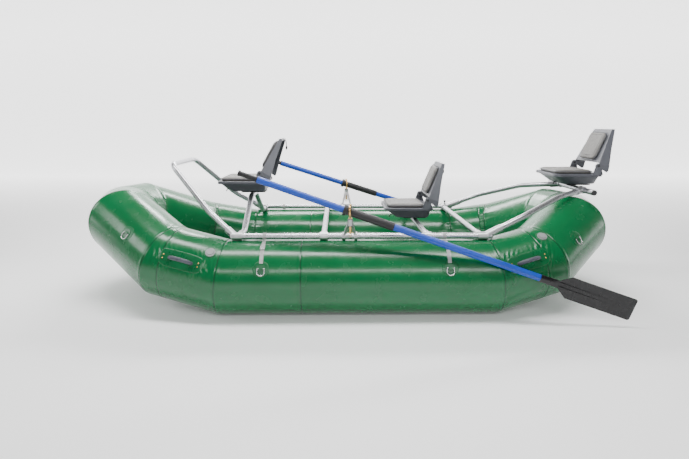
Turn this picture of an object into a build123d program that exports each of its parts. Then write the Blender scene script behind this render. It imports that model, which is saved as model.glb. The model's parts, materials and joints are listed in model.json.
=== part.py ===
from build123d import *
import os
from math import cos, radians, sin, tan

os.makedirs("parts", exist_ok=True)

# Inflatable drift raft with a rowing frame. Millimetres.
# X runs along the boat with the bow at -X, Y across it, Z up. Port is -Y.
# The origin is on the ground, under the middle of the hull.

# ---------------------------------------------------------------- driving dimensions
# Hull: one mitred ring of inflated tube, in four chambers.
hull_length = 4120
hull_skin = 1.3  # coated fabric
tube_diameter = 520
tube_spacing = 1320  # between the centres of the two side tubes
bow_seam_x = -872  # where the side tubes begin to rise to the bow
stern_seam_x = 988
bow_bend = (-1302, 560, 350)  # centre of the second bend: x, half spacing, height
stern_bend = (1368, 550, 335)
bow_shoulder_y = 200
bow_shoulder_z = 560
stern_shoulder_y = 220
stern_shoulder_z = 505
end_rake = 17  # degrees that the end tubes are swept back on each side
bow_baffle_share = 0.85  # place of the baffle along the first rising length
stern_baffle_share = 0.75

# Floor: an inflated panel laced between the tubes.
floor_thickness = 90
floor_height = 110  # centre of the panel above the ground
floor_half_width = 480
floor_bow_rise = 90
floor_bow_tip = (-1650, 400)
floor_stern_rise = 75
floor_stern_tip = (1650, 350)
floor_tip_length = 12  # of solid edge at each end of the floor

# Frame: round aluminium tube.
pipe_diameter = 41.3
pipe_wall = 3
fitting_wall = 7  # of the cast sleeves that hold the tubes
socket_wall = 6
rail_front_x = -825
rail_rear_x = 990
front_joint_x = -781
rear_joint_x = 945
foot_bar_x = -180
rear_bar_x = 910
bend_radius = 110

# Seats. Each is placed by its swivel axis.
front_seat_x = -755
middle_seat_x = 540
stern_seat_x = 1845
front_seat_z = 785
stern_bar_x = 1812
stern_bar_z = 812
stern_bar_half = 400
back_lean = 22
front_back_lean = 30

# Oars and oarlocks.
oar_length = 2743
oar_inboard = 790
oar_diameter = 46
oar_sleeve_radius = 28
oar_splay = 6.3  # degrees out from the boat's length
oar_dip = 18.5  # degrees down towards the blade
stand_rise = 194  # oar centre above the rail centre
stand_reach = 140  # oar centre outboard of the rail centre

# Clearances.
seat_gap = 0.3  # between pieces that rest on each other
running_gap = 0.05  # round a pin or shaft

# ---------------------------------------------------------------- worked-out places
tube_radius = tube_diameter / 2
half_spacing = tube_spacing / 2
pipe_radius = pipe_diameter / 2
pipe_bore = pipe_radius - pipe_wall
sleeve_radius = pipe_radius + fitting_wall + seat_gap
rail_z = tube_diameter + sleeve_radius + seat_gap
end_reach = hull_length / 2 - tube_radius / cos(radians(end_rake))
bow_shoulder_x = -end_reach + bow_shoulder_y * tan(radians(end_rake))
stern_shoulder_x = end_reach - stern_shoulder_y * tan(radians(end_rake))
PORT = -1
STARBOARD = 1
SIDES = {"port": PORT, "starboard": STARBOARD}
UP = Vector(0, 0, 1)


def save(builder, name):
    builder.part.label = name
    export_step(builder.part, f"parts/{name}.step")


def hull_points(side):
    """Centres of the tube's bends on one side, from the bow to the stern."""
    return {
        "bow_end": Vector(-end_reach, 0, bow_shoulder_z),
        "bow_shoulder": Vector(bow_shoulder_x, side * bow_shoulder_y, bow_shoulder_z),
        "bow_bend": Vector(bow_bend[0], side * bow_bend[1], bow_bend[2]),
        "bow_seam": Vector(bow_seam_x, side * half_spacing, tube_radius),
        "stern_seam": Vector(stern_seam_x, side * half_spacing, tube_radius),
        "stern_bend": Vector(stern_bend[0], side * stern_bend[1], stern_bend[2]),
        "stern_shoulder": Vector(stern_shoulder_x, side * stern_shoulder_y, stern_shoulder_z),
        "stern_end": Vector(end_reach, 0, stern_shoulder_z),
    }


def between(start, end, share):
    return start + (end - start) * share


def baffles(side):
    """Centres of the two walls that part a side chamber from the end chambers."""
    at = hull_points(side)
    bow = between(at["bow_seam"], at["bow_bend"], bow_baffle_share)
    stern = between(at["stern_seam"], at["stern_bend"], stern_baffle_share)
    return bow, stern


def chamber_paths():
    """The centre line of each chamber."""
    paths = {}
    ends = {}
    for name, side in SIDES.items():
        at = hull_points(side)
        bow, stern = baffles(side)
        paths[f"chamber_{name}"] = [bow, at["bow_seam"], at["stern_seam"], stern]
        bow_run = (bow, at["bow_bend"], at["bow_shoulder"])
        stern_run = (stern, at["stern_bend"], at["stern_shoulder"])
        ends[name] = (bow_run, stern_run)
    for index, name in enumerate(("bow", "stern")):
        middle = hull_points(PORT)[f"{name}_end"]
        near = list(ends["port"][index])
        far = list(ends["starboard"][index])
        paths[f"chamber_{name}"] = near + [middle] + far[::-1]
    return paths


def on_tube(side, first, second, share, angle):
    """A plane on the tube's skin: x along the tube, z outward, angle up from outboard."""
    at = hull_points(side)
    along = (at[second] - at[first]).normalized()
    outward = along.cross(UP).normalized()
    if outward.Y * side < 0:
        outward = outward * -1
    rising = along.cross(outward).normalized()
    if rising.Z < 0:
        rising = rising * -1
    normal = outward * cos(radians(angle)) + rising * sin(radians(angle))
    centre = between(at[first], at[second], share)
    return Plane(origin=centre + normal * tube_radius, x_dir=along, z_dir=normal)


def pipe(points, radii, radius=pipe_radius, bore=0):
    """A round bar or tube along straight runs that are joined by bends."""
    with BuildPart() as bar:
        with BuildLine() as route:
            if radii:
                FilletPolyline(*points, radius=radii)
            else:
                Polyline(*points)
        with BuildSketch(Plane(origin=route.line @ 0, z_dir=route.line % 0)):
            Circle(radius)
            if bore:
                Circle(bore, mode=Mode.SUBTRACT)
        sweep(path=route.wire(), transition=Transition.RIGHT)
    return bar


# ---------------------------------------------------------------- hull chambers
valve_radius = 33
valve_depth = 22
valve_places = [
    ("bow_seam", "bow_bend", 0.15, 51),
    ("stern_seam", "stern_bend", 0.91, 60),
]
valve_planes = [on_tube(side, *place) for side in SIDES.values() for place in valve_places]

def mitres(path):
    """The planes that halve the bends of a path."""
    planes = []
    for before, bend, after in zip(path, path[1:], path[2:]):
        arriving = (bend - before).normalized()
        leaving = (after - bend).normalized()
        planes.append(Plane(origin=bend, z_dir=arriving + leaving))
    return planes


for name, path in chamber_paths().items():
    tube = pipe(path, [], tube_radius, tube_radius - hull_skin).part
    with BuildPart() as chamber:
        add(tube)
        with Locations(*mitres(path)):
            Box(3 * tube_radius, 3 * tube_radius, seat_gap, mode=Mode.SUBTRACT)
        if name in SIDES:
            for end, inner in ((path[0], path[1]), (path[-1], path[-2])):
                with BuildSketch(Plane(origin=end, z_dir=inner - end)):
                    Circle(tube_radius)
                extrude(amount=hull_skin)
        for plane in valve_planes:
            with Locations(plane.offset(-valve_depth)):
                Cylinder(
                    valve_radius + seat_gap,
                    tube_radius,
                    align=(Align.CENTER, Align.CENTER, Align.MIN),
                    mode=Mode.SUBTRACT,
                )
    save(chamber, name)

# ---------------------------------------------------------------- valves
valve_flange = 4
valve_cap_radius = 24
valve_cap_height = 9
valve_ring_groove = 3
valve_cap_taper = 20

with BuildPart() as valves:
    for plane in valve_planes:
        with BuildSketch(plane.offset(seat_gap - valve_depth)):
            Circle(valve_radius)
        extrude(amount=valve_depth + valve_flange)
        with BuildSketch(plane.offset(valve_flange)):
            Circle(valve_cap_radius + valve_ring_groove)
            Circle(valve_cap_radius, mode=Mode.SUBTRACT)
        extrude(amount=-valve_ring_groove, mode=Mode.SUBTRACT)
        with BuildSketch(plane.offset(valve_flange)):
            Circle(valve_cap_radius)
        extrude(amount=valve_cap_height - valve_flange, taper=valve_cap_taper)
save(valves, "valves")

# ---------------------------------------------------------------- floor
floor_line = [
    floor_bow_tip,
    (bow_bend[0], floor_height + floor_bow_rise),
    (bow_seam_x, floor_height),
    (stern_seam_x, floor_height),
    (stern_bend[0], floor_height + floor_stern_rise),
    floor_stern_tip,
]


def floor_panel(inset):
    """The floor's body between the tubes, drawn in by an inset all round."""
    half = floor_thickness / 2 - inset
    top = [(x, z + half) for x, z in floor_line]
    foot = [(x, z - half) for x, z in floor_line]
    tubes = [pipe(path, [], tube_radius + seat_gap + inset).part for path in chamber_paths().values()]
    with BuildPart() as panel:
        with BuildSketch(Plane.XZ):
            with BuildLine():
                Polyline(*top, *foot[::-1], close=True)
            make_face()
        extrude(amount=floor_half_width - inset, both=True)
        if inset:
            with Locations(*[(x, 0, z) for x, z in (floor_bow_tip, floor_stern_tip)]):
                Box(2 * floor_tip_length, tube_spacing, tube_diameter, mode=Mode.SUBTRACT)
        for tube in tubes:
            add(tube, mode=Mode.SUBTRACT)
    return panel.part


floor_outside = floor_panel(0)
floor_inside = floor_panel(hull_skin)
floor_route = [Vector(x, 0, z) for x, z in floor_line]
with BuildPart() as floor:
    add(floor_outside)
    add(floor_inside, mode=Mode.SUBTRACT)
    with Locations(*mitres(floor_route)):
        Box(tube_spacing, tube_spacing, seat_gap, mode=Mode.SUBTRACT)
save(floor, "floor")

# ---------------------------------------------------------------- carry handles
handle_half = 78
handle_lift = 34
handle_bend = 26
handle_radius = 13
handle_pad = 66
handle_pad_width = 44
handle_pad_thickness = 3
rivet_radius = 5
rivet_height = 2.5
rivet_taper = 25
handle_places = [
    ("bow_seam", "bow_bend", 0.53, 27),
    ("stern_seam", "stern_bend", 0.44, 28),
]
handle_planes = [on_tube(side, *place) for side in SIDES.values() for place in handle_places]
pad_top = seat_gap + handle_pad_thickness


def handle_grip(plane):
    lift = pad_top + handle_lift
    corners = [(-handle_half, pad_top), (-handle_half, lift), (handle_half, lift), (handle_half, pad_top)]
    route = [plane.from_local_coords((x, 0, z)) for x, z in corners]
    return pipe(route, [handle_bend, handle_bend], handle_radius).part


grips = [handle_grip(plane) for plane in handle_planes]
with BuildPart() as handle_grips:
    for grip in grips:
        add(grip)
save(handle_grips, "handle_grips")

with BuildPart() as handle_pads:
    for plane in handle_planes:
        for end in (-1, 1):
            pad = Plane(
                origin=plane.from_local_coords((end * (handle_half + handle_pad / 6), 0, 0)),
                x_dir=plane.x_dir,
                z_dir=plane.z_dir,
            )
            with BuildSketch(pad.offset(seat_gap)):
                RectangleRounded(handle_pad, handle_pad_width, handle_pad_width / 4)
            extrude(amount=handle_pad_thickness)
            with BuildSketch(pad.offset(pad_top)):
                with Locations((end * (handle_pad / 2 - 2 * rivet_radius), 0)):
                    Circle(rivet_radius)
            extrude(amount=rivet_height, taper=rivet_taper)
save(handle_pads, "handle_pads")

# ---------------------------------------------------------------- rings on patches
patch_radius = 30
patch_thickness = 3
ring_half = 24
ring_wire = 3
keeper_width = 30
keeper_depth = 12
keeper_gap = 0.3
keeper_skin = 2
patch_top = seat_gap + patch_thickness
side_run = stern_seam_x - bow_seam_x
strap_places_x = (-590, 660)
strap_angle = 33
strap_ring_drop = 6  # degrees from the strap's end down to its ring
strap_shares = [(x - bow_seam_x) / side_run for x in strap_places_x]
tie_places = [
    ("bow_bend", "bow_shoulder", 0.36, 35),
    ("stern_bend", "stern_shoulder", 0.33, 32),
]
strap_places = [("bow_seam", "stern_seam", share, strap_angle - strap_ring_drop) for share in strap_shares]
ring_planes = [on_tube(side, *place) for side in SIDES.values() for place in tie_places + strap_places]


def ring_patch(plane):
    """A round patch on the tube's skin with the webbing block that holds a ring."""
    with BuildPart() as patch:
        with BuildSketch(plane.offset(seat_gap)):
            Circle(patch_radius)
        extrude(amount=patch_thickness)
        with BuildSketch(plane.offset(patch_top)):
            RectangleRounded(keeper_width, keeper_depth, keeper_skin)
        extrude(amount=2 * (keeper_gap + ring_wire + keeper_skin))
        with BuildSketch(Plane(origin=ring_centre(plane) - plane.x_dir * keeper_width, z_dir=plane.x_dir)):
            Circle(ring_wire + keeper_gap)
        extrude(amount=2 * keeper_width, mode=Mode.SUBTRACT)
    return patch.part


def ring_centre(plane):
    """Where the straight side of a ring passes through its keeper."""
    return plane.origin + plane.z_dir * (patch_top + keeper_gap + ring_wire + keeper_skin)


def d_ring(plane):
    """A D-shaped wire ring whose straight side lies along the tube and whose bow hangs down."""
    straight = ring_centre(plane)
    hang = plane.y_dir if plane.y_dir.Z < 0 else plane.y_dir * -1
    corners = [
        straight - plane.x_dir * ring_half,
        straight + plane.x_dir * ring_half,
        straight + plane.x_dir * ring_half + hang * ring_half,
        straight - plane.x_dir * ring_half + hang * ring_half,
    ]
    with BuildPart() as ring:
        with BuildLine() as route:
            Line(corners[0], corners[1])
            Line(corners[1], corners[2])
            ThreePointArc(corners[2], straight + hang * 2 * ring_half, corners[3])
            Line(corners[3], corners[0])
        with BuildSketch(Plane(origin=straight, z_dir=plane.x_dir)):
            Circle(ring_wire)
        sweep(path=route.wire(), transition=Transition.ROUND)
    return ring.part


patches = [ring_patch(plane) for plane in ring_planes]
rings = [d_ring(plane) for plane in ring_planes]

with BuildPart() as ring_patches:
    for patch in patches:
        add(patch)
save(ring_patches, "ring_patches")

with BuildPart() as d_rings:
    for ring in rings:
        add(ring)
save(d_rings, "d_rings")

# ---------------------------------------------------------------- straps from the rails to their rings
strap_width = 25
strap_thickness = 2.5
strap_loop_radius = pipe_radius + seat_gap
strap_inner = tube_radius + seat_gap
strap_outer = strap_inner + strap_thickness
strap_top_angle = 83
strap_tail_angle = 2
buckle_angle = 62
buckle_length = 34
buckle_width = 32
buckle_thickness = 8
buckle_corner = 3
buckle_chamfer = 1.5
rest_z = tube_radius


def around_tube(side, radius, angle):
    """A point of the section across the middle of a side tube, as seen along +X."""
    across = side * (half_spacing + radius * cos(radians(angle)))
    return (across, rest_z + radius * sin(radians(angle)))


def strap(side, x):
    """A webbing strap: a loop round the rail and a tail down the tube to the ring."""
    low = strap_angle + strap_tail_angle
    angles = (low, (low + strap_top_angle) / 2, strap_top_angle)
    across = Plane(origin=(x - strap_width / 2, 0, 0), x_dir=(0, 1, 0), z_dir=(1, 0, 0))
    with BuildPart() as webbing:
        with BuildSketch(across):
            with BuildLine():
                outer = ThreePointArc(*[around_tube(side, strap_outer, angle) for angle in angles])
                inner = ThreePointArc(*[around_tube(side, strap_inner, angle) for angle in angles])
                Line(outer @ 0, inner @ 0)
                Line(outer @ 1, inner @ 1)
            make_face()
            with Locations((side * half_spacing, rail_z)):
                Circle(strap_loop_radius + strap_thickness)
                Circle(strap_loop_radius, mode=Mode.SUBTRACT)
        extrude(amount=strap_width)
        with Locations((x, side * half_spacing, rest_z)):
            Cylinder(strap_inner, 2 * strap_width, rotation=(0, 90, 0), mode=Mode.SUBTRACT)
    return webbing.part


def buckle(side, x):
    """A cam buckle on the strap."""
    normal = Vector(0, side * cos(radians(buckle_angle)), sin(radians(buckle_angle)))
    centre = Vector(x, side * half_spacing, rest_z) + normal * (strap_outer + seat_gap)
    with BuildPart() as cam:
        with BuildSketch(Plane(origin=centre, x_dir=(1, 0, 0), z_dir=normal)):
            RectangleRounded(buckle_width, buckle_length, buckle_corner)
        extrude(amount=buckle_thickness)
        chamfer(cam.faces().sort_by(Axis.Z)[-1].edges(), buckle_chamfer)
    return cam.part


straps_made = [strap(side, x) for side in SIDES.values() for x in strap_places_x]
buckles_made = [buckle(side, x) for side in SIDES.values() for x in strap_places_x]

with BuildPart() as straps:
    for webbing in straps_made:
        add(webbing)
save(straps, "straps")

with BuildPart() as strap_buckles:
    for cam in buckles_made:
        add(cam)
save(strap_buckles, "strap_buckles")

# ---------------------------------------------------------------- frame tubes
arm_start = 42  # from a joint's centre to the end of the tube in its socket
stern_arm_start = 94
front_spread = 17  # the loop's socket is this far ahead of the joint and the arch's behind it
arch_knee_y = 470
arch_top_y = 105
mount_thickness = 6
loop_knee = (-1010, 505, 700)
loop_top = (-1312, 310, 1020)
stern_knees = [(1220, 590, 665), (1540, 400, 775)]
stern_bar_clamp_y = 205
arch_top_z = front_seat_z - mount_thickness - pipe_radius
arch_bend = 60
loop_foot_bend = 440
stern_arm_bend = 330
plug_flange = 5
plug_depth = 20
middle_seat_z = rail_z + pipe_radius + mount_thickness
stern_seat_z = stern_bar_z + pipe_radius + mount_thickness


def rail_point(x, side):
    return Vector(x, side * half_spacing, rail_z)


def sided(point, side):
    return Vector(point[0], side * point[1], point[2])


def towards(start, end, distance):
    return start + (end - start).normalized() * distance


def rail(side):
    return pipe([rail_point(rail_front_x, side), rail_point(rail_rear_x, side)], [], bore=pipe_bore)


def loop_root(side):
    return towards(rail_point(front_joint_x - front_spread, side), sided(loop_knee, side), arm_start)


def arch_root(side):
    return rail_point(front_joint_x + front_spread, side) - Vector(0, side * arm_start, 0)


def stern_root(side):
    return towards(rail_point(rear_joint_x, side), sided(stern_knees[0], side), stern_arm_start)


def stern_tip(side):
    clamp = Vector(stern_bar_x, side * stern_bar_clamp_y, stern_bar_z)
    return towards(clamp, sided(stern_knees[1], side), arm_start)


def cross_bar(x):
    reach = half_spacing - arm_start
    return pipe([(x, -reach, rail_z), (x, reach, rail_z)], [], bore=pipe_bore)


rail_port = rail(PORT)
save(rail_port, "rail_port")
rail_starboard = rail(STARBOARD)
save(rail_starboard, "rail_starboard")
foot_bar = cross_bar(foot_bar_x)
save(foot_bar, "foot_bar")
seat_bar = cross_bar(middle_seat_x)
save(seat_bar, "seat_bar")
rear_bar = cross_bar(rear_bar_x)
save(rear_bar, "rear_bar")

arch_x = front_joint_x + front_spread
arch_side = [(arch_knee_y, rail_z), (arch_top_y, arch_top_z)]
arch_points = [arch_root(PORT)]
arch_points += [Vector(arch_x, -y, z) for y, z in arch_side]
arch_points += [Vector(arch_x, y, z) for y, z in arch_side[::-1]]
arch_points += [arch_root(STARBOARD)]
seat_arch = pipe(arch_points, [arch_bend] * 4, bore=pipe_bore)
save(seat_arch, "seat_arch")

loop_points = [loop_root(PORT), sided(loop_knee, PORT), sided(loop_top, PORT)]
loop_points += [sided(loop_top, STARBOARD), sided(loop_knee, STARBOARD), loop_root(STARBOARD)]
loop_radii = [loop_foot_bend, bend_radius, bend_radius, loop_foot_bend]
casting_loop = pipe(loop_points, loop_radii, bore=pipe_bore)
save(casting_loop, "casting_loop")

for name, side in SIDES.items():
    points = [stern_root(side)] + [sided(knee, side) for knee in stern_knees] + [stern_tip(side)]
    stern_arm = pipe(points, [stern_arm_bend, stern_arm_bend], bore=pipe_bore)
    save(stern_arm, f"stern_arm_{name}")

stern_bar_ends = [Vector(stern_bar_x, side * stern_bar_half, stern_bar_z) for side in SIDES.values()]
stern_bar = pipe(stern_bar_ends, [], bore=pipe_bore)
save(stern_bar, "stern_bar")

# Black plugs in the open ends of the tubes.
plug_places = [(rail_point(rail_front_x, side), Vector(-1, 0, 0)) for side in SIDES.values()]
plug_places += [(rail_point(rail_rear_x, side), Vector(1, 0, 0)) for side in SIDES.values()]
plug_places += [(end, Vector(0, 1 if end.Y > 0 else -1, 0)) for end in stern_bar_ends]

with BuildPart() as tube_plugs:
    for place, outward in plug_places:
        with BuildSketch(Plane(origin=place, z_dir=outward)):
            Circle(pipe_radius)
        extrude(amount=plug_flange)
        with BuildSketch(Plane(origin=place, z_dir=outward)):
            Circle(pipe_bore - seat_gap)
        extrude(amount=-plug_depth)
save(tube_plugs, "tube_plugs")

# ---------------------------------------------------------------- cast fittings
socket_grip = 36  # of each tube inside its socket
bar_sleeve_length = 56
corner_sleeve_length = 70
screw_radius = 5
screw_height = 4
screw_sink = 1
rear_centre_x = (rear_joint_x + rear_bar_x) / 2
knob_stem_radius = 4
knob_stem_height = 12
knob_radius = 10
knob_height = 14
knob_corner = 3


def fitting(sleeve_centre, sleeve_axis, sleeve_length, sockets, screw_normal):
    """A cast sleeve round one tube with a socket for each tube that starts there."""
    along = Plane(origin=sleeve_centre, z_dir=sleeve_axis)
    with BuildPart() as cast:
        with Locations(along):
            Cylinder(sleeve_radius, sleeve_length)
        for origin, target, start in sockets:
            with BuildSketch(Plane(origin=origin, z_dir=target - origin)):
                Circle(pipe_radius + seat_gap + socket_wall)
            extrude(amount=start + socket_grip)
        with Locations(along):
            Cylinder(pipe_radius + seat_gap, 2 * sleeve_length, mode=Mode.SUBTRACT)
        for origin, target, start in sockets:
            with BuildSketch(Plane(origin=towards(origin, target, start - seat_gap), z_dir=target - origin)):
                Circle(pipe_radius + seat_gap)
            extrude(amount=2 * socket_grip, mode=Mode.SUBTRACT)
        screw_foot = sleeve_centre + screw_normal * (sleeve_radius - screw_sink)
        with BuildSketch(Plane(origin=screw_foot, z_dir=screw_normal)):
            RegularPolygon(screw_radius, 6)
        extrude(amount=screw_height)
    return cast


for name, side in SIDES.items():
    front_centre = rail_point(front_joint_x, side)
    loop_socket = (rail_point(front_joint_x - front_spread, side), sided(loop_knee, side), arm_start)
    arch_socket = (rail_point(arch_x, side), Vector(arch_x, 0, rail_z), arm_start)
    outboard = Vector(0, side, 0)
    front_sockets = [loop_socket, arch_socket]
    front_fitting = fitting(front_centre, Vector(1, 0, 0), corner_sleeve_length, front_sockets, outboard)
    save(front_fitting, f"front_fitting_{name}")
    rear_centre = rail_point(rear_centre_x, side)
    arm_socket = (rail_point(rear_joint_x, side), sided(stern_knees[0], side), stern_arm_start)
    bar_socket = (rail_point(rear_bar_x, side), Vector(rear_bar_x, 0, rail_z), arm_start)
    rear_sockets = [arm_socket, bar_socket]
    rear_fitting = fitting(rear_centre, Vector(1, 0, 0), corner_sleeve_length, rear_sockets, outboard)
    save(rear_fitting, f"rear_fitting_{name}")

# A knob on top of the rear fitting on one side.
knob_foot = rail_point(rear_centre_x, STARBOARD) + UP * (sleeve_radius + seat_gap)
with BuildPart() as frame_knob:
    with BuildSketch(Plane(origin=knob_foot)):
        Circle(knob_stem_radius)
    extrude(amount=knob_stem_height)
    with BuildSketch(Plane(origin=knob_foot + UP * knob_stem_height)):
        Circle(knob_radius)
    extrude(amount=knob_height)
    fillet(frame_knob.edges().group_by(Axis.Z)[-1], knob_corner)
save(frame_knob, "frame_knob")

bar_fittings_made = []
for side in SIDES.values():
    outboard = Vector(0, side, 0)
    for x in (foot_bar_x, middle_seat_x):
        socket = (rail_point(x, side), Vector(x, 0, rail_z), arm_start)
        cast = fitting(rail_point(x, side), Vector(1, 0, 0), bar_sleeve_length, [socket], outboard)
        bar_fittings_made.append(cast.part)
    clamp = Vector(stern_bar_x, side * stern_bar_clamp_y, stern_bar_z)
    socket = (clamp, sided(stern_knees[1], side), arm_start)
    cast = fitting(clamp, Vector(0, 1, 0), bar_sleeve_length, [socket], Vector(1, 0, 0))
    bar_fittings_made.append(cast.part)

with BuildPart() as bar_fittings:
    for cast in bar_fittings_made:
        add(cast)
save(bar_fittings, "bar_fittings")

# ---------------------------------------------------------------- oarlock stands
oar_centre_z = rail_z + stand_rise
oar_centre_y = half_spacing + stand_reach
stand_foot_half = 42
stand_clamp_length = 22
stand_plate = 12
stand_leg = 15
stand_top_half = 17
boss_radius = 18
boss_height = 44
bush_radius = 13
bush_flange_radius = 17
bush_flange = 3
shaft_radius = 8
horn_radius = 42
horn_wire = 6.5
horn_gap = 50  # degrees open at the top of the horn
horn_collar = 5
boss_drop = oar_sleeve_radius + 2 * horn_wire + horn_collar + bush_flange + 2 * seat_gap
shaft_drop = 150
pin_rise = 12  # of the keeper above the end of the shaft
pin_radius = 1.8
keeper_half = 20
keeper_fall = 32


def oar_centre(side):
    return Vector(0, side * oar_centre_y, oar_centre_z)


def horn_centre(side):
    """The oar lies in the foot of the horn, so the horn's centre is above the oar's."""
    seat = (horn_wire + oar_sleeve_radius + seat_gap) / cos(radians(oar_dip))
    return oar_centre(side) + UP * (horn_radius - seat)


def boss_top(side):
    return oar_centre(side) - UP * boss_drop


def oarlock_stand(side):
    """An A-shaped casting that clamps to the rail and leans out to carry the oarlock's bush."""
    foot = rail_point(0, side)
    head = boss_top(side) - UP * boss_height / 2
    lean = (head - foot).normalized()
    height = (head - foot).length
    face = Plane(origin=foot, x_dir=(1, 0, 0), z_dir=Vector(1, 0, 0).cross(lean))
    with BuildPart() as stand:
        with BuildSketch(face):
            with BuildLine():
                Polyline(
                    (-stand_foot_half - stand_leg / 2, 0),
                    (-stand_top_half, height),
                    (stand_top_half, height),
                    (stand_foot_half + stand_leg / 2, 0),
                    close=True,
                )
            make_face()
            with BuildLine(mode=Mode.PRIVATE) as opening:
                Polyline(
                    (-stand_foot_half + stand_leg / 2, 0),
                    (0, height - 2 * stand_leg),
                    (stand_foot_half - stand_leg / 2, 0),
                    close=True,
                )
            make_face(opening.edges(), mode=Mode.SUBTRACT)
        extrude(amount=stand_plate / 2, both=True)
        clamp_points = [rail_point(x, side) for x in (-stand_foot_half, stand_foot_half)]
        with Locations(*[Plane(origin=point, z_dir=(1, 0, 0)) for point in clamp_points]):
            Cylinder(sleeve_radius, stand_clamp_length)
        with Locations(head):
            Cylinder(boss_radius, boss_height)
        with Locations(Plane(origin=foot, z_dir=(1, 0, 0))):
            Cylinder(pipe_radius + seat_gap, 4 * stand_foot_half, mode=Mode.SUBTRACT)
        with Locations(head):
            Cylinder(bush_radius + running_gap, 2 * boss_height, mode=Mode.SUBTRACT)
        with Locations(boss_top(side) - UP * boss_height):
            Cylinder(
                bush_flange_radius + running_gap,
                bush_flange + seat_gap,
                align=(Align.CENTER, Align.CENTER, Align.MAX),
                mode=Mode.SUBTRACT,
            )
    return stand


def bush(side):
    """The plastic bearing in the boss, with a flange at each end."""
    top = boss_top(side)
    with BuildPart() as bearing:
        with Locations(top + UP * bush_flange):
            Cylinder(bush_flange_radius, bush_flange, align=(Align.CENTER, Align.CENTER, Align.MAX))
        with Locations(top):
            Cylinder(bush_radius, boss_height, align=(Align.CENTER, Align.CENTER, Align.MAX))
        with Locations(top - UP * boss_height):
            Cylinder(bush_flange_radius, bush_flange, align=(Align.CENTER, Align.CENTER, Align.MAX))
        with Locations(top):
            Cylinder(shaft_radius + running_gap, 4 * boss_height, mode=Mode.SUBTRACT)
    return bearing.part


def oar_heading(side):
    """The level direction of the oar, towards its blade."""
    return Vector(cos(radians(oar_splay)), side * sin(radians(oar_splay)), 0)


def oarlock(side):
    """The open horn on its shaft, and the wire keeper through the foot of the shaft."""
    centre = oar_centre(side)
    heading = oar_heading(side)
    ring_plane = Plane(origin=horn_centre(side), x_dir=heading.cross(UP), z_dir=heading)
    half_open = radians(horn_gap / 2)
    tips = [(x * horn_radius * sin(half_open), horn_radius * cos(half_open)) for x in (-1, 1)]
    lift = 1 if ring_plane.y_dir.Z > 0 else -1
    arc_points = [(tips[0][0], lift * tips[0][1]), (0, -lift * horn_radius), (tips[1][0], lift * tips[1][1])]
    with BuildPart() as lock:
        with BuildLine(ring_plane) as horn_line:
            ThreePointArc(*arc_points)
        with BuildSketch(Plane(origin=horn_line.line @ 0, z_dir=horn_line.line % 0)):
            Circle(horn_wire)
        sweep(path=horn_line.wire())
        with Locations(*[horn_line.line @ end for end in (0, 1)]):
            Sphere(horn_wire)
        with BuildSketch(Plane(origin=centre - UP * shaft_drop)):
            Circle(shaft_radius)
        extrude(amount=shaft_drop - oar_sleeve_radius - 2 * horn_wire)
        with BuildSketch(Plane(origin=boss_top(side) + UP * (bush_flange + seat_gap))):
            Circle(bush_radius)
        extrude(amount=horn_collar)
        with Locations(Plane(origin=keeper_place(side), z_dir=(1, 0, 0))):
            Cylinder(pin_radius + seat_gap, 4 * shaft_radius, mode=Mode.SUBTRACT)
    return lock


def keeper_place(side):
    return oar_centre(side) - UP * (shaft_drop - pin_rise)


def keeper(side):
    """A V of spring wire whose straight side passes through the shaft."""
    pin = keeper_place(side)
    corners = [pin - Vector(keeper_half, 0, 0), pin + Vector(keeper_half, 0, 0), pin - UP * keeper_fall]
    with BuildPart() as wire:
        for index, start in enumerate(corners):
            run = corners[(index + 1) % len(corners)] - start
            with BuildSketch(Plane(origin=start, z_dir=run)):
                Circle(pin_radius)
            extrude(amount=run.length)
        with Locations(*corners):
            Sphere(pin_radius)
    return wire.part


stand_port = oarlock_stand(PORT)
save(stand_port, "oarlock_stand_port")
stand_starboard = oarlock_stand(STARBOARD)
save(stand_starboard, "oarlock_stand_starboard")

bushes_made = [bush(side) for side in SIDES.values()]
with BuildPart() as oarlock_bushes:
    for bearing in bushes_made:
        add(bearing)
save(oarlock_bushes, "oarlock_bushes")

for name, side in SIDES.items():
    keeper_wire = keeper(side)
    lock = oarlock(side)
    with BuildPart() as oarlock_set:
        add(lock.part)
        add(keeper_wire)
    save(oarlock_set, f"oarlock_{name}")

# ---------------------------------------------------------------- oars
oar_wall = 2
grip_length = 137
grip_radius = 17
grip_end_radius = 20
grip_end_length = 12
sleeve_start = -24
sleeve_length = 330
collar_start = -46
collar_length = 20
collar_radius = 38
blade_neck_start = 1315  # from the oarlock to the end of the tube
blade_neck_length = 128
blade_neck_radius = 25
blade_half_width = 75
blade_shoulder = 70
blade_thickness = 7
blade_corner = 14
spine_radius = 8
spine_spread = 14
blade_rivet_radius = 5
blade_rivet_height = 2
blade_rivet_shares = (0.12, 0.45, 0.78)
blade_start = blade_neck_start + blade_neck_length
blade_tip = oar_length - oar_inboard


def oar_line(side):
    dip = radians(oar_dip)
    return oar_heading(side) * cos(dip) - UP * sin(dip)


def oar_plane(side, distance):
    """A plane across the oar, at a distance from the oarlock towards the blade."""
    line = oar_line(side)
    return Plane(origin=oar_centre(side) + line * distance, x_dir=line.cross(UP), z_dir=line)


def oar_tube(side):
    start = grip_length - oar_inboard
    with BuildPart() as tube:
        with BuildSketch(oar_plane(side, start)):
            Circle(oar_diameter / 2)
            Circle(oar_diameter / 2 - oar_wall, mode=Mode.SUBTRACT)
        extrude(amount=blade_neck_start - start)
    return tube


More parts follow.
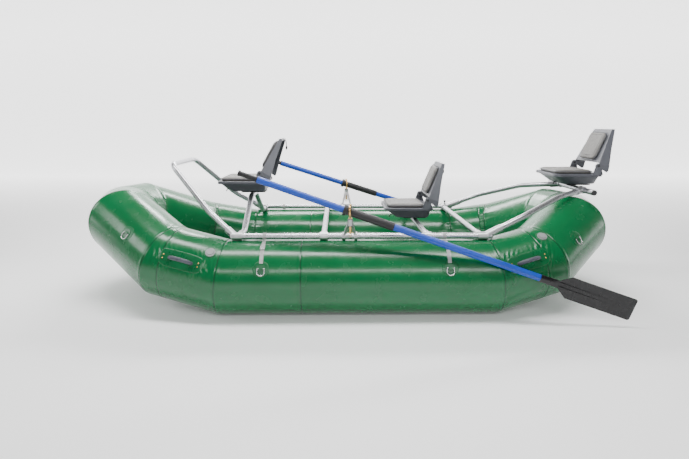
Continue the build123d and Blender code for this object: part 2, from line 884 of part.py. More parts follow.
def oar_grip(side):
    with BuildPart() as grip:
        with BuildSketch(oar_plane(side, -oar_inboard)):
            Circle(grip_radius)
        extrude(amount=grip_length)
        with BuildSketch(oar_plane(side, -oar_inboard)):
            Circle(grip_end_radius)
        extrude(amount=grip_end_length)
        with BuildSketch(oar_plane(side, grip_length - oar_inboard)):
            Circle(oar_diameter / 2)
        extrude(amount=-grip_end_length / 2)
        fillet(grip.edges().filter_by(GeomType.CIRCLE).sort_by(grip_far_end(side))[0], grip_end_length / 3)
    return grip


def grip_far_end(side):
    return Axis(origin=oar_centre(side), direction=oar_line(side))


def oar_sleeve(side):
    """The rubber sleeve that turns in the oarlock, with its stop collar."""
    with BuildPart() as sleeve:
        with BuildSketch(oar_plane(side, collar_start)):
            Circle(oar_sleeve_radius)
        extrude(amount=sleeve_start + sleeve_length - collar_start)
        with BuildSketch(oar_plane(side, collar_start)):
            Circle(collar_radius)
        extrude(amount=collar_length)
        with BuildSketch(oar_plane(side, collar_start)):
            Circle(oar_diameter / 2 + running_gap)
        extrude(amount=sleeve_length - 2 * collar_start, mode=Mode.SUBTRACT)
    return sleeve


def oar_blade(side):
    """A stiff blade with a double spine, on edge, and the plug that joins it to the tube."""
    line = oar_line(side)
    root = oar_plane(side, blade_start)
    flat = Plane(origin=root.origin, x_dir=line, z_dir=root.x_dir)
    length = blade_tip - blade_start
    half = blade_half_width
    with BuildPart() as blade:
        with BuildSketch(flat):
            with BuildLine():
                Polyline(
                    (0, -blade_neck_radius),
                    (blade_shoulder, -half),
                    (length, -half),
                    (length, half),
                    (blade_shoulder, half),
                    (0, blade_neck_radius),
                    close=True,
                )
            outline = make_face()
            fillet(outline.vertices().sort_by(Axis(origin=flat.origin, direction=line))[-2:], blade_corner)
        extrude(amount=blade_thickness / 2, both=True)
        with BuildSketch(oar_plane(side, blade_neck_start)):
            Circle(blade_neck_radius)
        with BuildSketch(root):
            Rectangle(2 * blade_thickness, 2 * blade_neck_radius)
        loft()
        for offset in (-spine_spread, spine_spread):
            along = root.origin + flat.y_dir * offset
            with BuildSketch(Plane(origin=along, z_dir=line)):
                Circle(spine_radius)
            with BuildSketch(Plane(origin=along + line * length * blade_rivet_shares[-1], z_dir=line)):
                Circle(blade_thickness / 2)
            loft()
        for share in blade_rivet_shares:
            spot = root.origin + line * length * share
            with BuildSketch(Plane(origin=spot, x_dir=line, z_dir=root.x_dir)):
                Circle(blade_rivet_radius)
            extrude(amount=blade_thickness / 2 + blade_rivet_height, both=True)
    return blade


for name, side in SIDES.items():
    shaft = oar_tube(side)
    save(shaft, f"oar_shaft_{name}")
    grip = oar_grip(side)
    save(grip, f"oar_grip_{name}")
    sleeve = oar_sleeve(side)
    save(sleeve, f"oar_sleeve_{name}")
    blade = oar_blade(side)
    save(blade, f"oar_blade_{name}")

# ---------------------------------------------------------------- seats
# Heights are above the mount, and distances are behind the swivel axis.
swivel_plate = 150
swivel_thickness = 4
swivel_disc_radius = 48
swivel_pin_radius = 8
swivel_height = 12
mount_length = 190
mount_width = 160
mount_corner = 14
bucket_foot_length = 260
bucket_foot_width = 300
bucket_foot_shift = -30
rim_front = -255
rim_rear = 125
rim_width = 430
rim_foot = 74
rim_height = 20
rim_corner = 48
bucket_inset = 16
shell_wall = 6
lip_width = 22
pad_length = 300
pad_width = 372
pad_front = -238
pad_height = 24
pad_corner = 44
pad_edge = 9
hinge_x = 75
hinge_z = 156
ear_radius = 20
ear_foot = 40
ear_thickness = 6
hinge_pin_radius = 5
hinge_head_radius = 9
hinge_head = 4
back_gap = 3
back_height = 300
back_flange_top = 24  # depth of the side flange at its top, middle and foot
back_flange_middle = 54
back_flange_foot = 92
back_flange_rise = 8
back_slot = 26  # the gap between the seat and the foot of the back's panel
back_top_width = 280
back_top_corner = 45
back_wall = 6
back_pad_foot = 38
back_pad_height = 232
back_pad_width = 262
back_pad_thickness = 22

ear_outer = rim_width / 2
back_half = ear_outer - ear_thickness - back_gap
rim_length = rim_rear - rim_front
rim_shift = (rim_rear + rim_front) / 2
rim_top = rim_foot + rim_height


def level(x, z, shift=0, rise=0):
    """A level plane at a height above a seat's mount."""
    return Plane(origin=(x + shift, 0, z + rise))


def seat_mount(x, z):
    """The fixed half of a swivel: a plate on the frame and the lower bearing plate."""
    with BuildPart() as mount:
        with BuildSketch(level(x, z, rise=-mount_thickness)):
            RectangleRounded(mount_length, mount_width, mount_corner)
        extrude(amount=mount_thickness)
        with BuildSketch(level(x, z)):
            RectangleRounded(swivel_plate, swivel_plate, mount_corner)
        extrude(amount=swivel_thickness)
        with BuildSketch(level(x, z, rise=-mount_thickness)):
            Circle(swivel_pin_radius + running_gap)
        extrude(amount=mount_thickness + swivel_thickness, mode=Mode.SUBTRACT)
    return mount


def seat_hardware(x, z):
    """The turning half of the swivel, and the two hinge bolts of the back."""
    bolt_foot = back_half - back_wall - hinge_head
    with BuildPart() as steel:
        with BuildSketch(level(x, z, rise=-mount_thickness)):
            Circle(swivel_pin_radius)
        extrude(amount=mount_thickness + swivel_thickness + seat_gap)
        with BuildSketch(level(x, z, rise=swivel_thickness + seat_gap)):
            Circle(swivel_disc_radius)
        extrude(amount=swivel_height - 2 * swivel_thickness - seat_gap)
        with BuildSketch(level(x, z, rise=swivel_height - swivel_thickness)):
            RectangleRounded(swivel_plate, swivel_plate, mount_corner)
        extrude(amount=swivel_thickness)
        for side in SIDES.values():
            hinge = Plane(origin=(x + hinge_x, side * bolt_foot, z + hinge_z), z_dir=(0, side, 0))
            with BuildSketch(hinge):
                Circle(hinge_head_radius)
            extrude(amount=hinge_head - seat_gap)
            with BuildSketch(hinge):
                Circle(hinge_pin_radius)
            extrude(amount=ear_outer - bolt_foot + hinge_head)
            with BuildSketch(hinge.offset(ear_outer - bolt_foot + seat_gap)):
                Circle(hinge_head_radius)
            extrude(amount=hinge_head)
    return steel


def seat_base(x, z):
    """The moulded bucket with its rim and the two ears that carry the back."""
    foot = level(x, z, bucket_foot_shift, swivel_height)
    with BuildPart() as base:
        with BuildSketch(foot):
            RectangleRounded(bucket_foot_length, bucket_foot_width, rim_corner)
        with BuildSketch(level(x, z, rim_shift, rim_foot)):
            RectangleRounded(rim_length - 2 * bucket_inset, rim_width - 2 * bucket_inset, rim_corner)
        loft()
        with BuildSketch(level(x, z, rim_shift, rim_foot)):
            RectangleRounded(rim_length, rim_width, rim_corner)
        extrude(amount=rim_height)
        fillet(base.edges().filter_by(Plane.XY).group_by(Axis.Z)[-1], shell_wall)
        with BuildSketch(foot.offset(shell_wall)):
            RectangleRounded(
                bucket_foot_length - 2 * shell_wall,
                bucket_foot_width - 2 * shell_wall,
                rim_corner - shell_wall,
            )
        with BuildSketch(level(x, z, rim_shift, rim_top)):
            RectangleRounded(
                rim_length - 2 * (bucket_inset + lip_width),
                rim_width - 2 * (bucket_inset + lip_width),
                rim_corner - shell_wall,
            )
        loft(mode=Mode.SUBTRACT)
        for side in SIDES.values():
            ear_point = (x + hinge_x, side * ear_outer, z + hinge_z)
            ear = Plane(origin=ear_point, x_dir=(1, 0, 0), z_dir=(0, -side, 0))
            down = 1 if ear.y_dir.Z > 0 else -1
            with BuildSketch(ear):
                Circle(ear_radius)
                with BuildLine():
                    Polyline(
                        (-ear_radius, 0),
                        (ear_radius, 0),
                        (ear_foot, down * (rim_top - hinge_z - shell_wall)),
                        (-ear_foot, down * (rim_top - hinge_z - shell_wall)),
                        close=True,
                    )
                make_face()
                Circle(hinge_pin_radius + running_gap, mode=Mode.SUBTRACT)
            extrude(amount=ear_thickness)
    return base


def seat_pad(x, z):
    with BuildPart() as pad:
        with BuildSketch(level(x, z, pad_front + pad_length / 2, rim_top + seat_gap)):
            RectangleRounded(pad_length, pad_width, pad_corner)
        extrude(amount=pad_height)
        fillet(pad.edges().filter_by(Plane.XY).group_by(Axis.Z)[-1], pad_edge)
    return pad


def back_planes(x, z, lean):
    """The side view of the back at its middle, and the view along its thickness."""
    behind = Vector(cos(radians(lean)), 0, -sin(radians(lean)))
    rising = Vector(sin(radians(lean)), 0, cos(radians(lean)))
    hinge = Vector(x + hinge_x, 0, z + hinge_z)
    side_view = Plane(origin=hinge, x_dir=behind, z_dir=behind.cross(rising))
    front_view = Plane(origin=hinge, x_dir=(0, 1, 0), z_dir=Vector(0, 1, 0).cross(rising))
    return side_view, front_view


def back_core(x, z, lean):
    """The space inside the back shell, open behind and below, with a slot above the hinges."""
    side_view, front_view = back_planes(x, z, lean)
    with BuildPart() as core:
        with BuildSketch(side_view):
            with BuildLine():
                Polyline(
                    (-2 * ear_radius, -2 * ear_radius),
                    (-2 * ear_radius, back_slot),
                    (back_wall, back_slot),
                    (back_wall, back_height - back_wall),
                    (back_half, back_height - back_wall),
                    (back_half, -back_half),
                    close=True,
                )
            make_face()
        extrude(amount=back_half, both=True)
        with BuildSketch(front_view):
            with BuildLine():
                Polyline(
                    (-back_half + back_wall, -back_half),
                    (-back_half + back_wall, ear_radius),
                    (-back_top_width / 2 + back_wall, back_height),
                    (back_top_width / 2 - back_wall, back_height),
                    (back_half - back_wall, ear_radius),
                    (back_half - back_wall, -back_half),
                    close=True,
                )
            make_face()
        extrude(amount=back_half, both=True, mode=Mode.INTERSECT)
    return core.part


def seat_back(x, z, lean):
    """The moulded back: a front panel with a top flange and deep side flanges."""
    side_view, front_view = back_planes(x, z, lean)
    core = back_core(x, z, lean)
    with BuildPart() as back:
        with BuildSketch(side_view):
            with BuildLine():
                Polyline(
                    (0, 0),
                    (0, back_height),
                    (back_flange_top, back_height + back_flange_rise),
                    (back_flange_middle, back_height / 2),
                    (back_flange_foot, -ear_radius / 4),
                    (back_flange_foot - back_flange_rise, -ear_radius),
                    (ear_radius, -ear_radius / 2),
                    close=True,
                )
            make_face()
            Circle(ear_radius)
        extrude(amount=back_half, both=True)
        with BuildSketch(front_view):
            with BuildLine():
                Polyline(
                    (-back_half, -back_half),
                    (-back_half, ear_radius),
                    (-back_top_width / 2, back_height + back_wall),
                    (back_top_width / 2, back_height + back_wall),
                    (back_half, ear_radius),
                    (back_half, -back_half),
                    close=True,
                )
            outline = make_face()
            top = sorted(outline.vertices(), key=lambda corner: corner.Z)[-2:]
            fillet(top, back_top_corner)
        extrude(amount=back_half, both=True, mode=Mode.INTERSECT)
        add(core, mode=Mode.SUBTRACT)
        with BuildSketch(side_view):
            Circle(hinge_pin_radius + running_gap)
        extrude(amount=back_half + back_gap, both=True, mode=Mode.SUBTRACT)
    return back


def back_pad(x, z, lean):
    side_view, front_view = back_planes(x, z, lean)
    forward = side_view.x_dir * -1
    rising = Vector(sin(radians(lean)), 0, cos(radians(lean)))
    middle = front_view.origin + forward * seat_gap + rising * (back_pad_foot + back_pad_height / 2)
    with BuildPart() as pad:
        with BuildSketch(Plane(origin=middle, x_dir=(0, 1, 0), z_dir=forward)):
            RectangleRounded(back_pad_width, back_pad_height, pad_corner)
        extrude(amount=back_pad_thickness)
        fillet(pad.faces().sort_by(Axis(origin=middle, direction=forward))[-1].edges(), pad_edge)
    return pad


seat_places = {
    "front": (front_seat_x, front_seat_z, front_back_lean),
    "middle": (middle_seat_x, middle_seat_z, back_lean),
    "stern": (stern_seat_x, stern_seat_z, back_lean),
}
for name, (x, z, lean) in seat_places.items():
    mount = seat_mount(x, z)
    save(mount, f"seat_mount_{name}")
    hardware = seat_hardware(x, z)
    save(hardware, f"seat_swivel_{name}")
    base = seat_base(x, z)
    save(base, f"seat_base_{name}")
    pad = seat_pad(x, z)
    save(pad, f"seat_pad_{name}")
    back = seat_back(x, z, lean)
    save(back, f"seat_back_{name}")
    cushion = back_pad(x, z, lean)
    save(cushion, f"back_pad_{name}")
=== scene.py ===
import json
from math import cos, pi, radians, sin, tan

import bmesh
import bpy
import numpy as np
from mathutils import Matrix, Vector


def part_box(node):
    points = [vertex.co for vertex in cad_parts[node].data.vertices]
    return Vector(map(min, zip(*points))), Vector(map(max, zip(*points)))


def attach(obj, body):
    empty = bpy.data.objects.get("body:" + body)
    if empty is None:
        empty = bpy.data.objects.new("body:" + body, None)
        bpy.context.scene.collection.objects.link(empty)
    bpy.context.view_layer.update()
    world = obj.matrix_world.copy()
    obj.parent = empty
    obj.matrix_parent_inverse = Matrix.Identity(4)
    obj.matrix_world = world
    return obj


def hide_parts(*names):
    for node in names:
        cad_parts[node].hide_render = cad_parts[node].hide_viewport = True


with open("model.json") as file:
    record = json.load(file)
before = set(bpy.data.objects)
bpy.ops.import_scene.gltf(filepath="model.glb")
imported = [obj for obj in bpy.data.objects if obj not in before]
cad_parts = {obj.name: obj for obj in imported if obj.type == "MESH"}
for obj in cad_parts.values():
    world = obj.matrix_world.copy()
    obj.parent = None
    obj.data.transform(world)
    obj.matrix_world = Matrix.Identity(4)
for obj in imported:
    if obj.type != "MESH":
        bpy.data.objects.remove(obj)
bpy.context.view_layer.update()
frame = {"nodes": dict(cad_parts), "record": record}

# The raft's looks, in metres: X runs aft, Y to starboard, Z up, and the ground is at 0.
nodes = frame["nodes"]
SIDES = {"port": -1, "starboard": 1}
SEATS = ("front", "middle", "stern")
UP = Vector((0, 0, 1))

# ---------------------------------------------------------------- the hull's sizes
TUBE = 0.26
HALF_SPACING = 0.66
BOW_SEAM_X = -0.872
STERN_SEAM_X = 0.988
BOW_BEND = (-1.302, 0.56, 0.35)
STERN_BEND = (1.368, 0.55, 0.335)
BOW_SHOULDER = (0.2, 0.56)
STERN_SHOULDER = (0.22, 0.505)
RAKE = radians(17)
END_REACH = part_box("chamber_stern")[1].x - TUBE / cos(RAKE)
BOW_SHARE = 0.85
STERN_SHARE = 0.75
PANEL_SEAM_X = -0.33


# ---------------------------------------------------------------- camera, light and floor
def studio():
    scene = bpy.context.scene
    cam = bpy.data.cameras.new("camera")
    cam.lens = 27.05
    cam.sensor_width = 36
    camera = bpy.data.objects.new("camera", cam)
    camera.location = (-0.082, -4.1789, 1.3156)
    camera.rotation_euler = (radians(78.42), 0, radians(-0.74))
    scene.collection.objects.link(camera)
    scene.camera = camera
    world = bpy.data.worlds.new("studio")
    scene.world = world
    world.use_nodes = True
    background = world.node_tree.nodes["Background"]
    background.inputs["Color"].default_value = (1, 1, 1, 1)
    background.inputs["Strength"].default_value = 0.16
    lights = [
        ("overhead", (-0.2, -0.9, 3.6), (0, 0, 0), (5.0, 0.6), 210),
        ("near_strip", (0.3, -4.4, 2.6), (0, -0.6, 0.4), (4.6, 0.5), 75),
        ("far_strip", (-0.3, 2.6, 3.2), (0, 0.6, 0.4), (3.6, 0.5), 190),
        ("bow_side", (-4.6, -1.4, 2.4), (-1.2, 0, 0.5), (1.8, 1.2), 45),
    ]
    for name, place, target, size, power in lights:
        lamp = bpy.data.lights.new(name, "AREA")
        lamp.shape = "RECTANGLE"
        lamp.size, lamp.size_y = size
        lamp.energy = power
        lamp_object = bpy.data.objects.new(name, lamp)
        lamp_object.location = place
        aim = Vector(target) - Vector(place)
        lamp_object.rotation_euler = aim.to_track_quat("-Z", "Y").to_euler()
        scene.collection.objects.link(lamp_object)
    backdrop()


def backdrop():
    """A pale floor that curves up far behind the raft into a wall, with painted light: it glows white, faintly under
    the raft and brightly on the wall.
    """
    half, front, bend, height, steps = 150, -150, 9, 14, 16
    profile = [(front, 0.0), (bend, 0.0)]
    for step in range(1, steps + 1):
        turn = pi / 2 * step / steps
        profile.append((bend + 4 * sin(turn), 4 * (1 - cos(turn))))
    profile.append((bend + 4, height))
    verts = [(x, y, z) for y, z in profile for x in (-half, half)]
    faces = [(2 * k, 2 * k + 1, 2 * k + 3, 2 * k + 2) for k in range(len(profile) - 1)]
    mesh = bpy.data.meshes.new("studio_floor")
    mesh.from_pydata(verts, [], faces)
    mesh.shade_smooth()
    floor_material = Nodes("studio_floor")
    floor_material.shader.inputs["Base Color"].default_value = (0.95, 0.95, 0.95, 1)
    floor_material.shader.inputs["Roughness"].default_value = 0.75
    # Painted light: the floor glows white, more strongly the farther back it lies.
    floor_material.shader.inputs["Emission Color"].default_value = (1, 1, 1, 1)
    split = floor_material.add("ShaderNodeSeparateXYZ")
    floor_material.join(floor_material.object_place(), split.inputs[0])
    glow = floor_material.span(split.outputs["Y"], 1.0, 9.0, 0.12, 2.2)
    floor_material.join(glow, floor_material.shader.inputs["Emission Strength"])
    mesh.materials.append(floor_material.material)
    ground = bpy.data.objects.new("studio_floor", mesh)
    bpy.context.scene.collection.objects.link(ground)
    return ground


# ---------------------------------------------------------------- materials
class Nodes:
    """A material's node tree, with a short way to add and join nodes."""

    def __init__(self, name):
        self.material = bpy.data.materials.new(name)
        self.material.use_nodes = True
        self.tree = self.material.node_tree
        self.shader = self.tree.nodes["Principled BSDF"]

    def add(self, kind, **values):
        node = self.tree.nodes.new(kind)
        for key, value in values.items():
            if key in node.inputs:
                node.inputs[key].default_value = value
            else:
                setattr(node, key, value)
        return node

    def join(self, source, target):
        self.tree.links.new(source, target)

    def object_place(self):
        return self.add("ShaderNodeTexCoord").outputs["Object"]

    def noise(self, scale, detail=3.0, place=None):
        node = self.add("ShaderNodeTexNoise", Scale=scale, Detail=detail)
        self.join(place or self.object_place(), node.inputs["Vector"])
        return node.outputs["Fac"]

    def span(self, value, low, high, to_low, to_high):
        node = self.add("ShaderNodeMapRange")
        self.join(value, node.inputs["Value"])
        for key, number in zip(("From Min", "From Max", "To Min", "To Max"), (low, high, to_low, to_high)):
            node.inputs[key].default_value = number
        return node.outputs["Result"]

    def math(self, operation, first, second=None):
        node = self.add("ShaderNodeMath", operation=operation)
        for index, value in enumerate((first, second)):
            if value is None:
                continue
            if isinstance(value, (int, float)):
                node.inputs[index].default_value = value
            else:
                self.join(value, node.inputs[index])
        return node.outputs[0]

    def mix(self, share, first, second):
        node = self.add("ShaderNodeMix", data_type="RGBA")
        if isinstance(share, (int, float)):
            node.inputs["Factor"].default_value = share
        else:
            self.join(share, node.inputs["Factor"])
        for index, colour in ((6, first), (7, second)):
            if isinstance(colour, tuple):
                node.inputs[index].default_value = (*colour, 1)
            else:
                self.join(colour, node.inputs[index])
        return node.outputs[2]

    def bump(self, height, distance, strength=1.0, after=None):
        node = self.add("ShaderNodeBump", Distance=distance, Strength=strength)
        self.join(height, node.inputs["Height"])
        if after:
            self.join(after, node.inputs["Normal"])
        return node.outputs["Normal"]


def shades(colour, spread):
    return tuple(c * (1 - spread) for c in colour), tuple(min(1, c * (1 + spread)) for c in colour)


def moulded(name, colour, roughness, spread=0.1, grain=900, depth=0.0002, coat=0.0, metal=0.0, wear=0.0):
    """Moulded, cast or painted stuff: a fine grain, and a slow change of colour and gloss."""
    made = Nodes(name)
    low, high = shades(colour, spread)
    base = made.mix(made.span(made.noise(6), 0.3, 0.7, 0, 1), low, high)
    if wear:
        edge = made.add("ShaderNodeNewGeometry").outputs["Pointiness"]
        worn = made.span(edge, 0.52, 0.58, 0, wear)
        pale = tuple(min(1, c * 1.6 + 0.08) for c in colour)
        base = made.mix(worn, base, pale)
    made.join(base, made.shader.inputs["Base Color"])
    made.join(made.span(made.noise(25), 0.3, 0.7, roughness * 0.8, roughness * 1.2), made.shader.inputs["Roughness"])
    made.join(made.bump(made.noise(grain, 2), depth), made.shader.inputs["Normal"])
    made.shader.inputs["Metallic"].default_value = metal
    made.shader.inputs["Coat Weight"].default_value = coat
    made.shader.inputs["Coat Roughness"].default_value = 0.12
    return made.material


def hull_skin_material():
    """Coated fabric: glossy, with a faint weave, slow waves, and painted shade darkening the glued seams."""
    made = Nodes("hull_fabric")
    base = made.mix(made.span(made.noise(2.5), 0.3, 0.7, 0, 1), (0.0, 0.1, 0.027), (0.0, 0.125, 0.036))
    # Painted shade: the base colour darkens towards deep green in each seam's groove, where the groove's shading
    # falls.
    seam_shade = made.add("ShaderNodeAttribute", attribute_name="seam_shade").outputs["Fac"]
    base = made.mix(made.math("MULTIPLY", seam_shade, 0.75), base, (0.0, 0.03, 0.012))
    made.join(base, made.shader.inputs["Base Color"])
    made.join(made.span(made.noise(9), 0.3, 0.7, 0.2, 0.3), made.shader.inputs["Roughness"])
    pucker = made.add("ShaderNodeAttribute", attribute_name="pucker").outputs["Fac"]
    folds = made.add("ShaderNodeTexWave", Scale=9.0, Distortion=6.0, Detail=2.0)
    made.join(made.object_place(), folds.inputs["Vector"])
    fold_height = made.math("MULTIPLY", folds.outputs["Fac"], pucker)
    normal = made.bump(fold_height, 0.006)
    normal = made.bump(made.noise(5), 0.004, 0.35, normal)
    normal = made.bump(made.noise(1400, 1), 0.0002, 0.35, normal)
    made.join(normal, made.shader.inputs["Normal"])
    made.shader.inputs["Coat Weight"].default_value = 0.15
    made.shader.inputs["Coat Roughness"].default_value = 0.12
    made.shader.inputs["Specular IOR Level"].default_value = 0.45
    return made.material


def woven(name, colour, scale=700, spread=0.12, sheen=0.3, roughness=0.8):
    """Webbing or cloth: threads that cross, with a soft sheen."""
    made = Nodes(name)
    place = made.object_place()
    waves = []
    for direction in ("X", "Y", "Z"):
        wave = made.add("ShaderNodeTexWave", Scale=scale, Distortion=0.5, bands_direction=direction)
        made.join(place, wave.inputs["Vector"])
        waves.append(wave.outputs["Fac"])
    weave = made.math("ADD", made.math("MULTIPLY", waves[0], waves[1]), waves[2])
    low, high = shades(colour, spread)
    made.join(made.mix(made.span(made.noise(30), 0.3, 0.7, 0, 1), low, high), made.shader.inputs["Base Color"])
    made.join(made.bump(weave, 0.0005, 0.6), made.shader.inputs["Normal"])
    made.shader.inputs["Roughness"].default_value = roughness
    made.shader.inputs["Sheen Weight"].default_value = sheen
    return made.material


def brushed(name, colour, roughness, spread=0.06):
    """Drawn tube and cast metal: fine scratches and a slow change of brightness."""
    made = Nodes(name)
    low, high = shades(colour, spread)
    made.join(made.mix(made.span(made.noise(12), 0.3, 0.7, 0, 1), low, high), made.shader.inputs["Base Color"])
    made.join(made.span(made.noise(180, 2), 0.3, 0.7, roughness * 0.75, roughness * 1.25), made.shader.inputs["Roughness"])
    made.join(made.bump(made.noise(700, 2), 0.0001, 0.5), made.shader.inputs["Normal"])
    made.shader.inputs["Metallic"].default_value = 0.95
    return made.material


def vinyl(name, colour):
    """Vinyl-covered foam: a leathery grain with tiny creases, and painted shade darkening its sewn channel."""
    made = Nodes(name)
    cells = made.add("ShaderNodeTexVoronoi", Scale=420.0, feature="DISTANCE_TO_EDGE")
    made.join(made.object_place(), cells.inputs["Vector"])
    low, high = shades(colour, 0.1)
    base = made.mix(made.span(made.noise(9), 0.3, 0.7, 0, 1), low, high)
    # Painted shade: the base colour darkens along the sewn channel's groove.
    channel_shade = made.add("ShaderNodeAttribute", attribute_name="seam_shade").outputs["Fac"]
    base = made.mix(made.math("MULTIPLY", channel_shade, 0.6), base, tuple(c * 0.35 for c in colour))
    made.join(base, made.shader.inputs["Base Color"])
    normal = made.bump(made.span(cells.outputs["Distance"], 0, 0.12, 0, 1), 0.0004, 0.6)
    normal = made.bump(made.noise(22), 0.002, 0.4, normal)
    made.join(normal, made.shader.inputs["Normal"])
    made.join(made.span(made.noise(40), 0.3, 0.7, 0.42, 0.6), made.shader.inputs["Roughness"])
    return made.material


LOOKS = {
    "hull_fabric": hull_skin_material(),
    "hull_patch": moulded("hull_patch", (0.0, 0.1, 0.029), 0.3, grain=1400),
    "floor_fabric": moulded("floor_fabric", (0.2, 0.21, 0.22), 0.55, grain=1200, depth=0.0003),
    "valve_plastic": moulded("valve_plastic", (0.2, 0.21, 0.21), 0.4, wear=0.5),
    "handle_rubber": moulded("handle_rubber", (0.06, 0.065, 0.085), 0.5, grain=1500),
    "steel_wire": brushed("steel_wire", (0.62, 0.62, 0.62), 0.25),
    "webbing": woven("webbing", (0.42, 0.42, 0.41)),
    "buckle_metal": brushed("buckle_metal", (0.55, 0.54, 0.55), 0.3),
    "frame_aluminium": brushed("frame_aluminium", (0.56, 0.56, 0.585), 0.3),
    "cast_aluminium": brushed("cast_aluminium", (0.55, 0.55, 0.56), 0.4, 0.14),
    "black_plastic": moulded("black_plastic", (0.012, 0.012, 0.014), 0.4, wear=0.2),
    "black_rubber": moulded("black_rubber", (0.006, 0.006, 0.007), 0.45, grain=1300, depth=0.0004),
    "black_steel": moulded("black_steel", (0.012, 0.012, 0.014), 0.35, metal=0.2, wear=0.3),
    "oarlock_brass": brushed("oarlock_brass", (0.72, 0.43, 0.16), 0.25, 0.15),
    "oar_blue": moulded("oar_blue", (0.0, 0.05, 0.4), 0.36, coat=0.1, depth=0.0001),
    "blade_plastic": moulded("blade_plastic", (0.004, 0.004, 0.005), 0.3, wear=0.15, depth=0.0003),
    "seat_plastic": moulded("seat_plastic", (0.062, 0.065, 0.078), 0.4, wear=0.35, grain=1100, depth=0.0003),
    "seat_cushion": vinyl("seat_cushion", (0.105, 0.1, 0.092)),
}
slot_of = {part["node"]: part["material_slot"] for part in frame["record"]["subparts"]}
for name, node in nodes.items():
    node.data.materials.clear()
    node.data.materials.append(LOOKS[slot_of[name]])


# ---------------------------------------------------------------- making pieces
def piece(name, verts, faces, look, body="root", smooth=True, floats=None):
    """A mesh piece that rides on a body, with float attributes for its material."""
    mesh = bpy.data.meshes.new(name)
    mesh.from_pydata([tuple(v) for v in verts], [], [tuple(f) for f in faces])
    mesh.update()
    work = bmesh.new()
    work.from_mesh(mesh)
    bmesh.ops.recalc_face_normals(work, faces=work.faces)
    work.to_mesh(mesh)
    work.free()
    if smooth:
        mesh.shade_smooth()
    for key, values in (floats or {}).items():
        attribute = mesh.attributes.new(key, "FLOAT", "POINT")
        attribute.data.foreach_set("value", np.array(values, np.float32))
    made = bpy.data.objects.new(name, mesh)
    bpy.context.scene.collection.objects.link(made)
    mesh.materials.append(LOOKS[look])
    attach(made, body)
    return made


def grid_faces(rows, columns, start=0):
    """Faces between rings of vertices that close on themselves."""
    faces = []
    for row in range(rows - 1):
        for column in range(columns):
            after = (column + 1) % columns
            low = start + row * columns
            high = low + columns
            faces.append((low + column, low + after, high + after, high + column))
    return faces


def caps(rows, columns, start=0):
    last = start + (rows - 1) * columns
    return [tuple(range(start, start + columns))[::-1], tuple(range(last, last + columns))]


def unit(vector):
    return vector / np.linalg.norm(vector)


def turn_to(vector, before, after):
    """The vector, turned as the direction before turns to the direction after."""
    return np.array(Vector(before).rotation_difference(Vector(after)) @ Vector(vector))


# ---------------------------------------------------------------- hull skins
RING = 192
OFFSETS = (0, 0.002, 0.004, 0.007, 0.012, 0.0175, 0.0205, 0.03, 0.045, 0.07, 0.1, 0.15)
END_SHARE = 0.42
MIDDLE_STEP = 0.05
GROOVE = 0.0022
GROOVE_WIDTH = 0.0042
TAPE = 0.0008
TAPE_WIDTH = 0.019
PUCKER = 0.003
PUCKER_REACH = 0.05
PUCKERS = 13


def hull_corners(side):
    bow_x = -END_REACH + BOW_SHOULDER[0] * tan(RAKE)
    stern_x = END_REACH - STERN_SHOULDER[0] * tan(RAKE)
    corners = {
        "bow_end": (-END_REACH, 0, BOW_SHOULDER[1]),
        "bow_shoulder": (bow_x, side * BOW_SHOULDER[0], BOW_SHOULDER[1]),
        "bow_bend": (BOW_BEND[0], side * BOW_BEND[1], BOW_BEND[2]),
        "bow_seam": (BOW_SEAM_X, side * HALF_SPACING, TUBE),
        "panel_seam": (PANEL_SEAM_X, side * HALF_SPACING, TUBE),
        "stern_seam": (STERN_SEAM_X, side * HALF_SPACING, TUBE),
        "stern_bend": (STERN_BEND[0], side * STERN_BEND[1], STERN_BEND[2]),
        "stern_shoulder": (stern_x, side * STERN_SHOULDER[0], STERN_SHOULDER[1]),
        "stern_end": (END_REACH, 0, STERN_SHOULDER[1]),
    }
    at = {name: np.array(corner, float) for name, corner in corners.items()}
    at["bow_baffle"] = at["bow_seam"] + (at["bow_bend"] - at["bow_seam"]) * BOW_SHARE
    at["stern_baffle"] = at["stern_seam"] + (at["stern_bend"] - at["stern_seam"]) * STERN_SHARE
    return at


def chamber_routes():
    routes = {}
    for name, side in SIDES.items():
        at = hull_corners(side)
        order = ("bow_baffle", "bow_seam", "panel_seam", "stern_seam", "stern_baffle")
        routes[name] = [at[key] for key in order]
    for end in ("bow", "stern"):
        order = (f"{end}_baffle", f"{end}_bend", f"{end}_shoulder")
        near = [hull_corners(-1)[key] for key in order]
        far = [hull_corners(1)[key] for key in order]
        routes[end] = near + [hull_corners(1)[f"{end}_end"]] + far[::-1]
    return routes


def seam_shape(distance, inner, around, seed):
    """How far the skin stands from the plain tube at a distance from a seam, and how much painted shade darkens its
    groove there.
    """
    # Painted shade: the groove's darkness, strongest on the seam line and gone a few millimetres away.
    groove_shade = np.exp(-((distance / GROOVE_WIDTH) ** 2))
    tape = TAPE * (distance < TAPE_WIDTH)
    fade = np.exp(-distance / PUCKER_REACH) * (1 - np.exp(-distance / GROOVE_WIDTH))
    folds = np.sin(around * PUCKERS * 2 + seed) + 0.6 * np.sin(around * PUCKERS * 3.7 + seed * 2.3)
    return tape - GROOVE * groove_shade + PUCKER * inner * fade * folds, groove_shade


